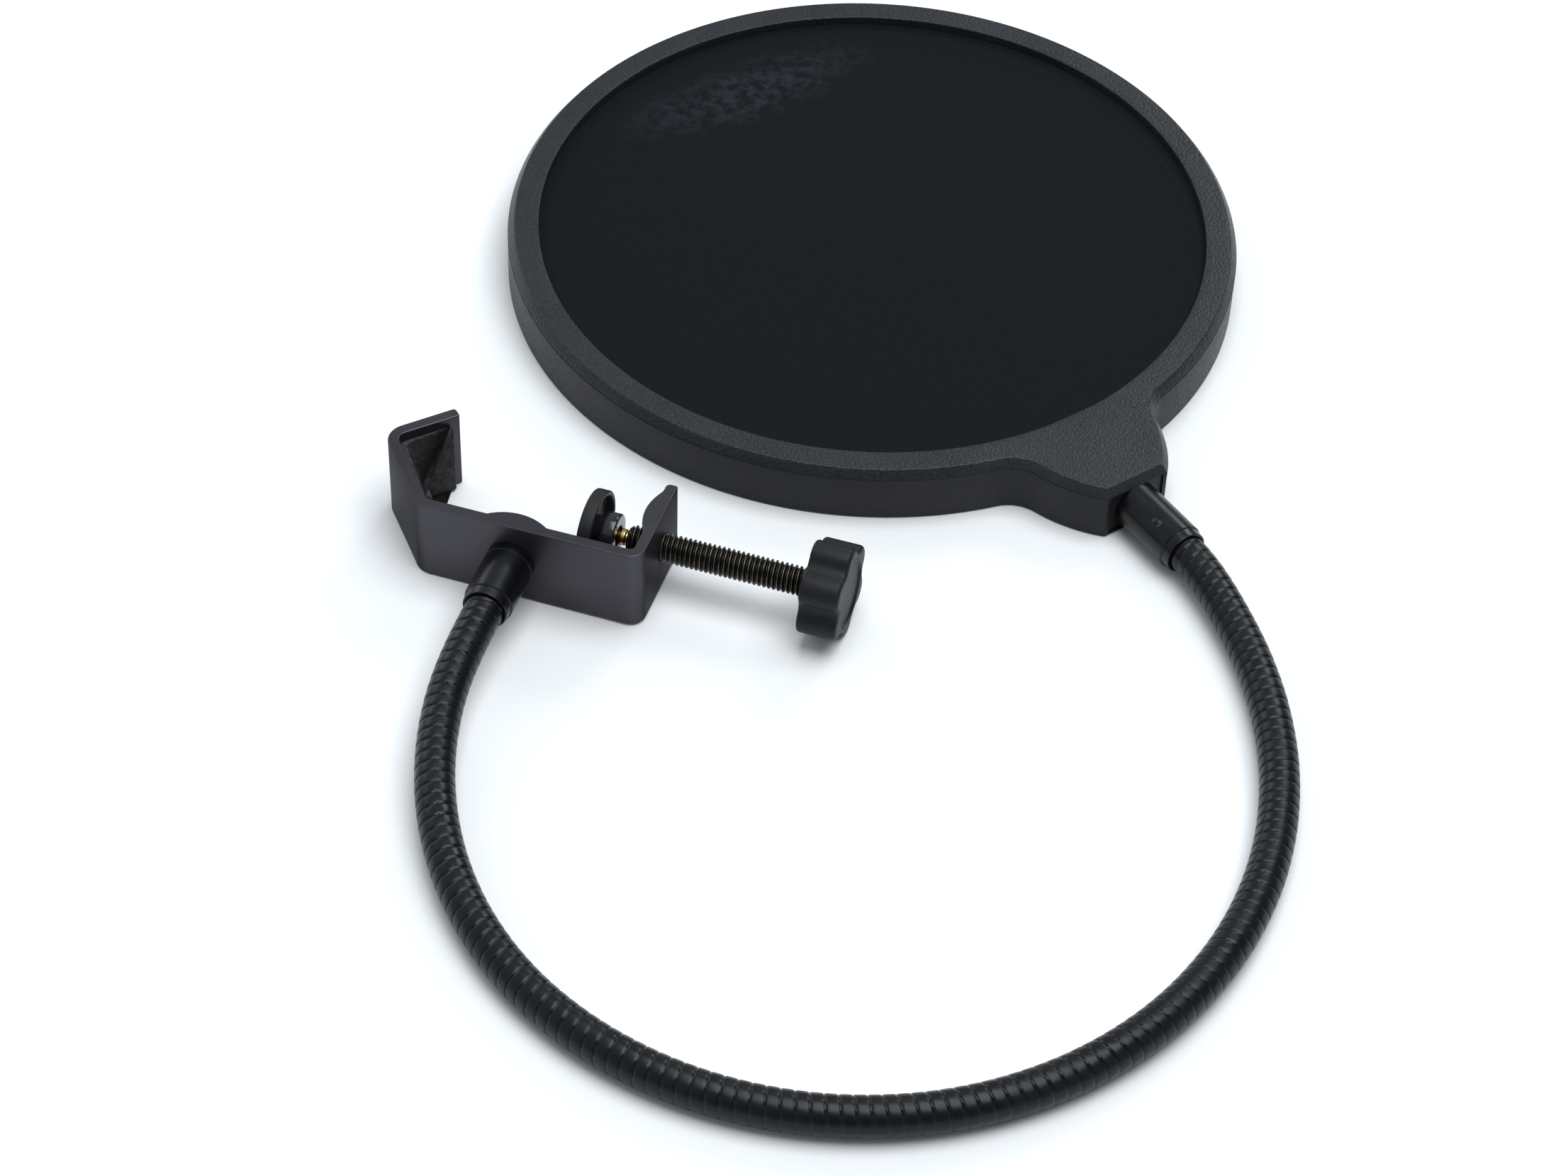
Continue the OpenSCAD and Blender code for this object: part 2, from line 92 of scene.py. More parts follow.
# ---------------------------------------------------------------- places, read from the frame
JPTS = [np.array(JOINT[f"neck_bend_{i + 1:02d}"]["pos_m"]) / MM for i in range(17)]
low, high = (np.array(v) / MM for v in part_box("front_mesh"))
HOOP_C = np.array([(low[0] + high[0]) / 2, (low[1] + high[1]) / 2, 0.0])
tab_x = unit((JPTS[0] - HOOP_C) * [1, 1, 0])
TAB = basis(tab_x, [-tab_x[1], tab_x[0], 0], [0, 0, 1], HOOP_C)
screw_at = np.array(JOINT["screw_turn"]["pos_m"]) / MM
along = -unit(JOINT["screw_turn"]["axis"])
across = unit([-along[1], along[0], 0])
rise = np.cross(along, across)
CLAMP = basis(along, across, rise, screw_at - SCREW_V * across - MID * rise)
SCREW = basis(-rise, across, along, screw_at)
PLATE = basis(-along, rise, -across, CLAMP[:3, 3] - NECK_U * along + MID * rise)
MOUTH = basis(*(TAB[:3, k] for k in (1, 2, 0)), JPTS[0])


# ---------------------------------------------------------------- mesh helpers
def rounded(points, radii, steps=5, closed=True):
    """A polyline with an arc of the given radius at each corner."""
    pts = [np.array(p, float) for p in points]
    n, out = len(pts), []
    for i, p in enumerate(pts):
        r = radii[i] if hasattr(radii, "__len__") else radii
        if r <= 0 or (not closed and i in (0, n - 1)):
            out.append(p)
            continue
        a, b = unit(pts[i - 1] - p), unit(pts[(i + 1) % n] - p)
        half = math.acos(max(-1, min(1, a @ b))) / 2
        c = p + unit(a + b) * r / math.sin(half)
        s, e = p + a * r / math.tan(half) - c, p + b * r / math.tan(half) - c
        a0, a1 = math.atan2(s[1], s[0]), math.atan2(e[1], e[0])
        turn = (a1 - a0 + math.pi) % (2 * math.pi) - math.pi
        for k in range(steps + 1):
            t = a0 + turn * k / steps
            out.append(c + r * np.array([math.cos(t), math.sin(t)]))
    return np.array(out)


def build(name, verts, faces, matrix, material, sharp=32):
    """A mesh object from points in millimetres of a local frame, smooth but for its sharp edges."""
    v = np.asarray(verts, float) @ matrix[:3, :3].T + matrix[:3, 3]
    mesh = bpy.data.meshes.new(name)
    mesh.from_pydata((v * MM).tolist(), [], faces)
    mesh.validate()
    mesh.polygons.foreach_set("use_smooth", [True] * len(mesh.polygons))
    mesh.set_sharp_from_angle(angle=math.radians(sharp))
    ob = bpy.data.objects.new(name, mesh)
    bpy.context.scene.collection.objects.link(ob)
    mesh.materials.append(material)
    return ob


def loft(name, rings, matrix, material, wrap=False, caps=(True, True), sharp=32, flip=False):
    """Skins closed rings of equal length.

    wrap joins the last ring to the first; otherwise caps may close each end.
    """
    rings = np.asarray(rings, float)
    n, m = rings.shape[:2]
    idx = np.arange(n * m).reshape(n, m)
    a = idx if wrap else idx[:-1]
    b = np.roll(idx, -1, 0) if wrap else idx[1:]
    quads = np.stack([a, np.roll(a, -1, 1), np.roll(b, -1, 1), b], -1).reshape(-1, 4)
    if flip:
        quads = quads[:, ::-1]
    faces = quads.tolist()
    if not wrap:
        if caps[0]:
            faces.append((idx[0] if flip else idx[0][::-1]).tolist())
        if caps[1]:
            faces.append((idx[-1][::-1] if flip else idx[-1]).tolist())
    return build(name, rings.reshape(-1, 3), faces, matrix, material, sharp)


def lathe(name, profile, matrix, material, segments=96, dent=None, sharp=32):
    """Turns (z, r) points about local Z. A profile that starts or ends at r 0 is closed there."""
    t = np.linspace(0, 2 * math.pi, segments, endpoint=False)
    rings = []
    for z, r in profile:
        r = max(r, 1e-4)
        rings.append(np.stack([r * np.cos(t), r * np.sin(t), np.full_like(t, z)], -1))
    rings = np.array(rings)
    if dent is not None:
        rings = dent(rings)
    return loft(name, rings, matrix, material, sharp=sharp)


def inset(outline, d):
    """A closed counter-clockwise outline moved inwards by d."""
    p = np.asarray(outline, float)
    e = np.roll(p, -1, 0) - p
    n = np.stack([-e[:, 1], e[:, 0]], -1) / np.linalg.norm(e, axis=1)[:, None]
    m = n + np.roll(n, 1, 0)
    m /= np.sum(m * np.roll(n, 1, 0), axis=1)[:, None]
    return p + m * d


def tidy(outline, gap=0.02):
    """Drops points that lie on the one before."""
    p = np.asarray(outline, float)
    return p[np.linalg.norm(p - np.roll(p, 1, 0), axis=1) > gap]


def extruded(name, outline, z0, z1, edge, matrix, material, steps=4):
    """A plate of that outline with rounded top and bottom edges."""
    outline = tidy(outline)
    rings = []
    arc = [(edge * (1 - math.sin(k)), edge * (1 - math.cos(k))) for k in np.linspace(0, math.pi / 2, steps + 1)]
    for d, z in [(edge + 0.08, z0)] + [(d, z0 + z) for d, z in arc]:
        rings.append(np.c_[inset(outline, d), np.full(len(outline), z)])
    for d, z in [(d, z1 - z) for d, z in reversed(arc)] + [(edge + 0.08, z1)]:
        rings.append(np.c_[inset(outline, d), np.full(len(outline), z)])
    return loft(name, rings, matrix, material)


def cutter(shape, matrix, size):
    """A box or cylinder to cut with; size is (x, y, z) or (radius, length)."""
    if shape == "box":
        c = np.array([[x, y, z] for z in (0, 1) for x, y in ((0, 0), (1, 0), (1, 1), (0, 1))], float) * size
        faces = [[3, 2, 1, 0], [4, 5, 6, 7], [0, 1, 5, 4], [1, 2, 6, 5], [2, 3, 7, 6], [3, 0, 4, 7]]
        return build("cutter", c, faces, matrix, MAT["hidden"])
    r, length = size
    return lathe("cutter", [(0, r), (length, r)], matrix, MAT["hidden"], 64)


def cut(ob, cutters):
    """Takes the cutters out of ob and removes them."""
    for c in cutters:
        mod = ob.modifiers.new("cut", "BOOLEAN")
        mod.operation, mod.solver, mod.object = "DIFFERENCE", "EXACT", c
        bpy.context.view_layer.update()
        made = bpy.data.meshes.new_from_object(ob.evaluated_get(bpy.context.evaluated_depsgraph_get()))
        ob.modifiers.clear()
        old, ob.data = ob.data, made
        bpy.data.meshes.remove(old)
        bpy.data.objects.remove(c)
    ob.data.polygons.foreach_set("use_smooth", [True] * len(ob.data.polygons))
    ob.data.set_sharp_from_angle(angle=math.radians(32))
    return ob


def at(matrix, x, y, z):
    """The same frame with its origin moved along its own axes."""
    m = matrix.copy()
    m[:3, 3] = matrix[:3, :3] @ np.array([x, y, z], float) + matrix[:3, 3]
    return m


def place(ob, body, *nodes):
    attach(ob, body)
    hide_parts(*nodes)
    return ob


# ---------------------------------------------------------------- materials
class Mat:
    """A node material built around one Principled shader."""

    def __init__(self, name, color, rough, metal=0.0):
        self.mat = bpy.data.materials.new(name)
        self.mat.use_nodes = True
        self.tree = self.mat.node_tree
        self.bsdf = self.tree.nodes["Principled BSDF"]
        self.set("Base Color", (*color, 1))
        self.set("Roughness", rough)
        self.set("Metallic", metal)
        self.coords = self.tree.nodes.new("ShaderNodeTexCoord").outputs["Object"]
        self.height = None

    def set(self, socket, value):
        self.bsdf.inputs[socket].default_value = value

    def node(self, kind, **inputs):
        n = self.tree.nodes.new("ShaderNode" + kind)
        for k, v in inputs.items():
            n.inputs[k].default_value = v
        return n

    def noise(self, scale, detail=3.0, roughness=0.55, coords=None):
        n = self.node("TexNoise", Scale=scale, Detail=detail, Roughness=roughness)
        self.tree.links.new(coords or self.coords, n.inputs["Vector"])
        return n.outputs["Fac"]

    def stretch(self, x, y, z):
        n = self.tree.nodes.new("ShaderNodeMapping")
        n.inputs["Scale"].default_value = (x, y, z)
        self.tree.links.new(self.coords, n.inputs["Vector"])
        return n.outputs["Vector"]

    def ramp(self, fac, lo, hi, a, b):
        """Maps fac from lo..hi onto a..b."""
        n = self.tree.nodes.new("ShaderNodeMapRange")
        for i, v in enumerate((lo, hi, a, b)):
            n.inputs[i + 1].default_value = v
        self.tree.links.new(fac, n.inputs[0])
        return n.outputs[0]

    def math(self, op, a, b):
        n = self.tree.nodes.new("ShaderNodeMath")
        n.operation = op
        for i, v in enumerate((a, b)):
            if isinstance(v, (int, float)):
                n.inputs[i].default_value = v
            else:
                self.tree.links.new(v, n.inputs[i])
        return n.outputs[0]

    def colour(self, fac, a, b):
        n = self.tree.nodes.new("ShaderNodeMix")
        n.data_type = "RGBA"
        self.tree.links.new(fac, n.inputs[0])
        n.inputs[6].default_value, n.inputs[7].default_value = (*a, 1), (*b, 1)
        self.tree.links.new(n.outputs[2], self.bsdf.inputs["Base Color"])

    def link(self, out, socket):
        self.tree.links.new(out, self.bsdf.inputs[socket])

    def bump(self, fac, distance, strength=1.0):
        n = self.tree.nodes.new("ShaderNodeBump")
        n.inputs["Distance"].default_value = distance
        n.inputs["Strength"].default_value = strength
        self.tree.links.new(fac, n.inputs["Height"])
        if self.height is not None:
            self.tree.links.new(self.height, n.inputs["Normal"])
        self.height = n.outputs["Normal"]
        self.tree.links.new(self.height, self.bsdf.inputs["Normal"])


def grainy(name, color, rough, grain, depth, spread=0.12, gloss=0.25):
    """Moulded or blasted surface: fine grain, faint larger mottling in colour and gloss."""
    m = Mat(name, color, rough)
    m.set("Specular IOR Level", gloss)
    fine, broad = m.noise(1000 / grain, 1.0), m.noise(60, 3.0)
    m.bump(fine, depth * MM)
    mottle = m.math("ADD", m.math("MULTIPLY", broad, 0.5), m.math("MULTIPLY", fine, 0.5))
    m.colour(m.ramp(mottle, 0.3, 0.7, 0, 1),
             [c * (1 - spread) for c in color], [c * (1 + spread) for c in color])
    m.link(m.ramp(fine, 0.3, 0.7, rough - 0.07, rough + 0.07), "Roughness")
    return m.mat


def metal_paint(name, color, rough, coat=0.0, depth=0.004, gloss=0.35):
    """Black plating or paint with faint waviness and fingerprints in its gloss."""
    m = Mat(name, color, rough)
    m.set("Specular IOR Level", gloss)
    m.set("Coat Weight", coat)
    m.set("Coat Roughness", 0.12)
    broad, fine = m.noise(180, 4.0), m.noise(2400, 2.0)
    m.bump(broad, depth * MM * 4)
    m.bump(fine, depth * MM)
    m.link(m.ramp(broad, 0.3, 0.7, rough - 0.05, rough + 0.08), "Roughness")
    return m.mat


def anodised():
    """Satin black anodised band with faint rolling lines along it and a violet cast."""
    color = (0.072, 0.069, 0.080)
    m = Mat("anodised", color, 0.30, 0.8)
    m.set("Specular Tint", (0.25, 0.25, 0.26, 1))
    lines = m.noise(9000, 2.0, coords=m.stretch(0.02, 0.02, 1))
    fine, broad = m.noise(3200, 2.0), m.noise(45, 3.0)
    m.bump(lines, 0.0012 * MM)
    m.bump(fine, 0.004 * MM)
    m.colour(m.ramp(broad, 0.3, 0.7, 0, 1), [c * 0.85 for c in color], [c * 1.15 for c in color])
    m.link(m.ramp(broad, 0.3, 0.7, 0.26, 0.34), "Roughness")
    return m.mat


def knit():
    """Fine black nylon knit: diagonal wales, small loops, and a painted paler sheen in broad patches over one
    place towards the far left.
    """
    a, b = (0.0010, 0.0017, 0.0028), (0.0170, 0.0205, 0.0265)
    m = Mat("knit", a, 0.75)
    m.set("Specular IOR Level", 0.12)
    waves = []
    for turn in (38, -52):
        n = m.tree.nodes.new("ShaderNodeMapping")
        n.inputs["Rotation"].default_value = (0, 0, math.radians(turn))
        m.tree.links.new(m.coords, n.inputs["Vector"])
        w = m.tree.nodes.new("ShaderNodeTexWave")
        w.inputs["Scale"].default_value = 1000 / KNIT_PITCH / 2
        w.inputs["Distortion"].default_value = 0.25
        m.tree.links.new(n.outputs["Vector"], w.inputs["Vector"])
        waves.append(w.outputs["Fac"])
    loops = m.math("MULTIPLY", waves[0], waves[1])
    m.bump(loops, 0.12 * MM)
    # painted sheen: a paler patch laid into the colour at one place, standing in for light on the two layers
    n = m.tree.nodes.new("ShaderNodeMapping")
    n.vector_type = "TEXTURE"
    n.inputs["Location"].default_value = ((HOOP_C[0] - 28) * MM, (HOOP_C[1] + 45) * MM, 10.3 * MM)
    n.inputs["Rotation"].default_value = (0, 0, math.radians(32))
    n.inputs["Scale"].default_value = (34 * MM, 11 * MM, 11 * MM)
    m.tree.links.new(m.coords, n.inputs["Vector"])
    sheen_spot = m.tree.nodes.new("ShaderNodeTexGradient")
    sheen_spot.gradient_type = "SPHERICAL"
    m.tree.links.new(n.outputs["Vector"], sheen_spot.inputs["Vector"])
    painted_sheen = m.math("MULTIPLY", sheen_spot.outputs["Fac"], m.ramp(m.noise(420, 4.0, 0.65), 0.42, 0.75, 0, 2.2))
    m.colour(m.math("ADD", m.ramp(loops, 0, 1, 0, 0.75), painted_sheen), a, b)
    return m.mat


def felt():
    color = (0.040, 0.036, 0.038)
    m = Mat("felt", color, 0.95)
    m.set("Specular IOR Level", 0.1)
    m.set("Sheen Weight", 0.10)
    m.set("Sheen Roughness", 0.5)
    fuzz, clump = m.noise(5200, 4.0, 0.7), m.noise(900, 3.0)
    m.bump(clump, 0.12 * MM)
    m.bump(fuzz, 0.08 * MM)
    m.colour(m.ramp(clump, 0.35, 0.65, 0, 1), [c * 0.6 for c in color], [c * 1.5 for c in color])
    return m.mat


def steel_with_painted_glint():
    """Blackened steel with a painted gold-brown glint on its crests, in patches along the thread."""
    dark, glint_colour = (0.022, 0.020, 0.018), (0.60, 0.50, 0.36)
    m = Mat("steel_with_painted_glint", dark, 0.34, 0.85)
    n = m.tree.nodes.new("ShaderNodeNewGeometry")
    patch = m.noise(700, 4.0, 0.6)
    # painted highlight: crests (high pointiness) take the bright glint colour where the patch noise allows
    edge = m.ramp(n.outputs["Pointiness"], 0.53, 0.60, 0, 1)
    m.colour(m.math("MULTIPLY", edge, m.ramp(patch, 0.35, 0.7, 0.1, 1.0)), dark, glint_colour)
    m.link(m.ramp(patch, 0.3, 0.7, 0.26, 0.46), "Roughness")
    m.bump(m.noise(3000, 2.0), 0.006 * MM)
    return m.mat


def turned(name, color, rough, metal=1.0):
    """Bright turned metal with fine tool marks."""
    m = Mat(name, color, rough, metal)
    m.bump(m.noise(2600, 2.0), 0.004 * MM)
    m.link(m.ramp(m.noise(300, 3.0), 0.3, 0.7, rough - 0.06, rough + 0.08), "Roughness")
    return m.mat


MAT = {
    "hidden": grainy("hidden_plastic", (0.012, 0.012, 0.012), 0.6, 0.4, 0.01),
    "cover": grainy("cover_plastic", (0.0165, 0.0188, 0.0218), 0.36, 0.55, 0.17, 0.35, 0.26),
    "shell": grainy("shell_plastic", (0.0115, 0.0110, 0.0132), 0.46, 0.8, 0.008, 0.12, 0.24),
    "knit": knit(),
    "felt": felt(),
    "ferrule": metal_paint("ferrule_black", (0.0028, 0.0031, 0.0037), 0.27, 0.0, 0.004, 0.30),
    "neck": metal_paint("gooseneck_black", (0.0026, 0.0032, 0.0042), 0.32, 0.0, 0.002, 0.26),
    "band": anodised(),
    "thread": steel_with_painted_glint(),
    "knob": grainy("knob_plastic", (0.0105, 0.0110, 0.0125), 0.48, 0.45, 0.060, 0.2, 0.20),
    "brass": turned("brass", (0.62, 0.43, 0.17), 0.22),
    "collar": metal_paint("collar_black", (0.012, 0.012, 0.013), 0.16, 0.5, 0.002),
    "disc": metal_paint("disc_black", (0.013, 0.013, 0.0145), 0.46, gloss=0.25),
    "rubber": grainy("foot_rubber", (0.012, 0.012, 0.012), 0.8, 0.5, 0.02),
    "zinc": turned("black_zinc", (0.13, 0.13, 0.135), 0.35),
    "steel": turned("plain_zinc", (0.38, 0.38, 0.39), 0.3),
}

# ---------------------------------------------------------------- hoop
side_c = np.array([TAB_END - SIDE_R * math.sin(TAPER), TAB_HALF - SIDE_R * math.cos(TAPER)])
a, b, c = HOOP_R + FILLET, SIDE_R + FILLET, np.linalg.norm(side_c)
fillet_at = math.atan2(*side_c[::-1]) + math.acos((a * a + c * c - b * b) / (2 * a * c))
fillet_c = a * np.array([math.cos(fillet_at), math.sin(fillet_at)])
side_at = math.atan2(*(fillet_c - side_c)[::-1])


def arc(centre, r, a0, a1, n):
    t = np.linspace(a0, a1, n)
    return np.asarray(centre) + r * np.c_[np.cos(t), np.sin(t)]


def hoop_outline(d, corner=0.4):
    """The rim and tab seen from above, moved inwards by d; the same number of points for any d."""
    end, r = TAB_END - d, SIDE_R - d
    meet = math.asin((end - side_c[0]) / r)
    side = arc(side_c, r, math.pi / 2 - meet + 0.02, side_at, 28)
    tip = side_c + r * np.array([math.sin(meet), math.cos(meet)])
    top = np.concatenate([rounded([(end, 0), tip, side[0]], corner, 6, closed=False)[1:-1], side[1:],
                          arc(fillet_c, FILLET + d, side_at + math.pi, fillet_at + math.pi, 20)[1:]])
    ring = arc((0, 0), HOOP_R - d, fillet_at, 2 * math.pi - fillet_at, 422)[1:-1]
    return np.concatenate([top, ring, top[::-1] * [1, -1]])


ANGLE = np.arctan2(*hoop_outline(0).T[::-1])


def circle(r):
    return np.c_[r * np.cos(ANGLE), r * np.sin(ANGLE)]


def ring_of(kind, value, z):
    return np.c_[hoop_outline(value) if kind == "o" else circle(value), np.full(len(ANGLE), z)]


def hoop_piece(name, outer, inner, material):
    """outer is (inset, z) points from inside to outside, inner is (radius, z) points."""
    rings = [ring_of("c", r, z) for r, z in inner] + [ring_of("o", d, z) for d, z in outer]
    return loft(name, rings, TAB, MAT[material], wrap=True, flip=True)


lip = rounded([(WINDOW_R, 10.42), (WINDOW_R, HOOP_T), (WINDOW_R + 1.6, HOOP_T)], 0.3, 5, closed=False)
rim = rounded([(3.2, HOOP_T), (BEVEL_IN, HOOP_T), (0, SEAM + 0.03), (0.7, SEAM + 0.01)],
              [0, 0.42, 0.12, 0], 5, closed=False)
cover = hoop_piece("front_cover_looks", rim.tolist(), [(RECESS_R, SEAM + 0.01)] + lip.tolist(), "cover")
place(cover, "hoop", "front_cover")

lip = rounded([(RECESS_R, 1.6), (WINDOW_R, 1.6), (WINDOW_R, 0), (WINDOW_R + 1.6, 0)],
              [0, 0.1, 0.3, 0], 5, closed=False)
rim = rounded([(3.0, 0), (0, 0), (0, SEAM - 0.02), (0.8, SEAM - 0.01)], [0, 0.45, 0.10, 0], 5, closed=False)
shell = hoop_piece("rear_shell_looks", rim.tolist(), [(RECESS_R, SEAM - 0.01)] + lip.tolist(), "shell")
holes = [cutter("box", at(TAB, TAB_END - 0.4, -TAB_HALF + 0.9, 0.6), (5, 2 * TAB_HALF - 1.8, 20))]
holes += [cutter("cylinder", at(TAB, 81.6, s * 8, -1), (2.1, 2.5)) for s in (-1, 1)]
place(cut(shell, holes), "hoop", "rear_shell")

# knitted mesh, two stretched sheets
MESH_R = HOOP_R - 3.3
for name, z in (("front_mesh", MESH_TOP), ("rear_mesh", MESH_LOW)):
    radii = np.concatenate([np.linspace(0.4, 66, 34), np.linspace(67, MESH_R, 12)])
    t = np.linspace(0, 2 * math.pi, 240, endpoint=False)
    rings = []
    for r in radii:
        pull = 0.03 * np.sin(36 * t) * (r / MESH_R) ** 30
        rings.append(np.c_[r * np.cos(t), r * np.sin(t), z + pull * (1 if z > 5 else -1) - 0.03])
    sheet = loft(name + "_knit", rings[::-1], TAB, MAT["knit"], caps=(False, True))
    place(sheet, "hoop", name)


# ---------------------------------------------------------------- ferrules
def crimp(centre_z, centre_t):
    """A shallow round crimp mark on a ferrule's wall."""

    def dent(rings):
        r = np.linalg.norm(rings[..., :2], axis=-1)
        t = np.arctan2(rings[..., 1], rings[..., 0])
        da = ((t - centre_t + math.pi) % (2 * math.pi) - math.pi) * FERR_R
        dist = np.hypot(da, rings[..., 2] - centre_z)
        depth = 0.16 * np.exp(-(((dist - 0.75) / 0.28) ** 2)) * (r > FERR_R - 0.05)
        out = rings.copy()
        out[..., :2] *= ((r - depth) / np.maximum(r, 1e-6))[..., None]
        return out

    return dent


def ferrule(name, z0, z1, matrix, material, groove=None, dent=None):
    """A sleeve from z0 to its open mouth at z1."""
    outer = [(z0, 0.0), (z0, FERR_R)]
    if groove is not None:
        outer += [(groove - 0.16, FERR_R), (groove, FERR_R - 0.16), (groove + 0.16, FERR_R)]
    outer += [(z1 - 2.1, FERR_R), (z1 - 1.95, FERR_R - 0.28), (z1, FERR_R - 0.42),
              (z1, FERR_R - 0.92), (z1 - 3.5, FERR_R - 0.95), (z1 - 3.5, 0)]
    outer = np.array(outer)
    radii = [0, 0.05] + ([0.03, 0.05, 0.03] if groove is not None else []) + [0.05, 0.04, 0.16, 0.1, 0.1, 0]
    line = rounded(outer, radii, 4, closed=False)
    fine = [line[0]]
    for p in line[1:]:
        on_wall = p[1] > FERR_R - 0.6 and fine[-1][1] > FERR_R - 0.6
        n = max(1, int(np.linalg.norm(p - fine[-1]) / 0.16)) if on_wall else 1
        start = fine[-1]
        fine += [start + (p - start) * k / n for k in range(1, n + 1)]
    return lathe(name, fine, matrix, MAT[material], 160, dent)


mouth = ferrule("hoop_ferrule_looks", TAB_END - 4.2 - (TAB_END + 15.9), 0.6, MOUTH, "ferrule",
                dent=crimp(-6.4, math.radians(120)))
place(mouth, "hoop", "hoop_ferrule")
socket = ferrule("clamp_ferrule_looks", 0.03, FERR_OUT - 2.7, PLATE, "ferrule", groove=1.9)
place(socket, "clamp", "clamp_ferrule")

# ---------------------------------------------------------------- gooseneck
knots = [JPTS[0] - 6 * tab_x] + JPTS + [JPTS[16] + 6 * across]
slopes = [(knots[min(i + 1, 18)] - knots[max(i - 1, 0)]) for i in range(19)]
slopes[0], slopes[1], slopes[17], slopes[18] = tab_x, tab_x, across, across
line, owner = [], []
for i in range(18):
    p, q = knots[i], knots[i + 1]
    gap = np.linalg.norm(q - p)
    m0, m1 = unit(slopes[i]) * gap, unit(slopes[i + 1]) * gap
    for t in np.arange(0, 1, 0.01):
        h = ((1 + 2 * t) * (1 - t) ** 2, t * (1 - t) ** 2, t * t * (3 - 2 * t), t * t * (t - 1))
        line.append(h[0] * p + h[1] * m0 + h[2] * q + h[3] * m1)
        owner.append(i + t)
line, owner = np.array(line), np.array(owner)
run = np.r_[0, np.cumsum(np.linalg.norm(np.diff(line, axis=0), axis=1))]
STEP = PITCH / 12
s_at = np.arange(0, run[-1], STEP)
path = np.stack([np.interp(s_at, run, line[:, k]) for k in range(3)], -1)
place_at = np.interp(s_at, run, owner)
tangent = np.gradient(path, axis=0)
tangent /= np.linalg.norm(tangent, axis=1)[:, None]
up = np.array([0.0, 0, 1])
theta = np.linspace(0, 2 * math.pi, 56, endpoint=False)
coil = []
for p, t, s in zip(path, tangent, s_at):
    up = unit(up - t * (up @ t))
    side = np.cross(t, up)
    wire = np.abs(2 * ((s / PITCH - theta / (2 * math.pi)) % 1.0) - 1)
    r = NECK_R - 0.045 * wire**2 - 0.26 * np.clip((wire - 0.74) / 0.26, 0, 1) ** 1.6
    coil.append(p + np.outer(r * np.cos(theta), up) + np.outer(r * np.sin(theta), side))
coil = np.array(coil)
edges = [0] + [i + 1.5 for i in range(16)] + [18]
for i in range(17):
    a, b = np.searchsorted(place_at, edges[i]), np.searchsorted(place_at, edges[i + 1])
    part = coil[a : b + 1]
    section = loft(f"gooseneck_{i + 1:02d}", part, np.eye(4), MAT["neck"], caps=(i == 0, i == 16), sharp=60)
    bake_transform(section)
    if i > 0:
        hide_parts(f"neck_link_{i:02d}")

# ---------------------------------------------------------------- clamp band
corner = np.array([-BACK, 0.0])
apex = np.array([-BACK - SLANT_RUN, SLANT_REACH])
slant, leg = unit(apex - corner), unit([1, 1])
slant_in, leg_in = np.array([slant[1], -slant[0]]), np.array([leg[1], -leg[0]])
tip = apex + LEG * leg
low_in = corner + BAND_T * (slant_in + [0, 1]) / (1 + slant_in[1])


def apex_in(t):
    """The inner corner between slant and leg, t in from the outside."""
    return apex + t * (slant_in + leg_in) / (1 + slant_in @ leg_in)


def bump_height(x):
    """An arc that runs softly into the flat ear, x from its middle."""
    return BUMP_SOFT * math.log1p(math.exp((BUMP_H - x * x / BUMP_FLATNESS) / BUMP_SOFT))


ear_bump = [(-BAND_T - bump_height(x), SCREW_V - x) for x in np.linspace(-BUMP_HALF, BUMP_HALF, 31)]
reach = math.sqrt(BOSS_R**2 - (BOSS_R - BOSS_H) ** 2)
boss = [(-NECK_U + 0.6 + x, BAND_T + BOSS_H - BOSS_R + math.sqrt(BOSS_R**2 - x * x))
        for x in np.linspace(reach, -reach, 19)]
corners = [((0, 0), 3.2), ((0, EAR), 0.35), ((-BAND_T, EAR), 0.9)]
corners += [(p, 0) for p in ear_bump] + [((-BAND_T, BAND_T), 1.0)] + [(p, 0) for p in boss]
corners += [(low_in, 1.5), (apex_in(BAND_T), 2.0), (tip + BAND_T * leg_in, 0.35)]
corners += [(tip, 0.7), (apex, 4.4), (corner, 4.4)]
outline = rounded([c[0] for c in corners], [c[1] for c in corners], 10)
band = extruded("clamp_band", outline, 0, BAND_W, 0.22, CLAMP, MAT["band"])
holes = [cutter("cylinder", at(SCREW, 0, 0, -8), (SCREW_HOLE_R, 12)),
         cutter("cylinder", at(PLATE, 0, 0, -12), (FERR_HOLE_R, 12 - BAND_T + 0.3))]
place(cut(band, holes), "clamp", "clamp_bracket")

# felt pad lining the jaw
a, b = apex_in(BAND_T), apex_in(BAND_T + PAD_T)
pad = [(a, 2.0), (a - PAD_LONG * slant, 0.4), (a - PAD_LONG * slant + PAD_T * slant_in, 0.5), (b, 1.0),
       (a + PAD_SHORT * leg + PAD_T * leg_in, 0.5), (a + PAD_SHORT * leg, 0.4)]
outline = tidy(rounded([p for p, _ in pad], [r for _, r in pad], 6))
fine = []
for p, q in zip(outline, np.roll(outline, -1, 0)):
    n = max(1, int(np.linalg.norm(q - p) / 0.5))
    fine += [p + (q - p) * k / n for k in range(n)]
levels = np.concatenate([[0.1, 0.16, 0.3], np.linspace(0.5, BAND_W - 2.2, 34), [BAND_W - 1.95, BAND_W - 1.8]])
draw = np.interp(levels, [0.1, 0.5, BAND_W - 2.2, BAND_W - 1.8], [0.4, 0, 0, 0.4])
rng = np.random.default_rng(7)
rings = []
